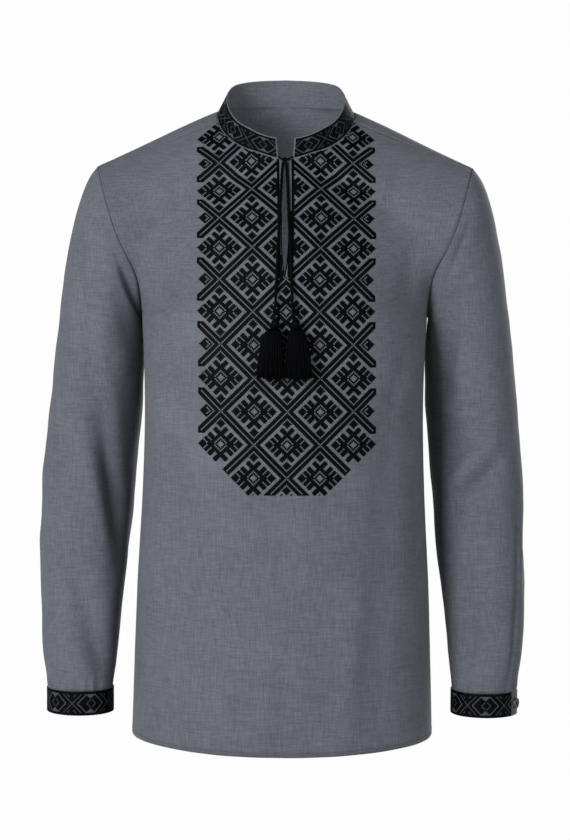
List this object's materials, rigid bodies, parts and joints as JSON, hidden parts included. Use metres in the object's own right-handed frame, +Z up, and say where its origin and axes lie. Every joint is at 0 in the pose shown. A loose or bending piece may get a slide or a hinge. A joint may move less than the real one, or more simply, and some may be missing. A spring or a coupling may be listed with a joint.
{
  "type": "vyshyvanka shirt",
  "caption": "Long-sleeved embroidered linen shirt with a stand collar, a tied neck slit with tassels and buttoned cuffs, filled out as worn.",
  "frame": {"origin": "middle of the neck opening, level with the points where the shoulders meet the neckline, where the wearer holds the shirt up", "axes": "+Z up, -Y out of the front, +X towards the sleeve on the right as seen from the front"},
  "size_m": [0.5779, 0.2888, 0.7786],
  "materials": {
    "linen": "plain woven linen",
    "embroidered_band": "linen covered with stitching",
    "tie_thread": "twisted thread",
    "button": "polished horn"
  },
  "bodies": {
    "root": {"front": "linen", "back": "linen", "sleeve_left": "linen", "sleeve_right": "linen", "collar": "embroidered_band", "cuff_left": "embroidered_band", "cuff_right": "embroidered_band", "button_left": "button", "button_right": "button", "tie_knot": "tie_thread", "tie_cord_left": "tie_thread", "tie_cord_right": "tie_thread", "tassel_left": "tie_thread", "tassel_right": "tie_thread"}
  },
  "joints": []
}
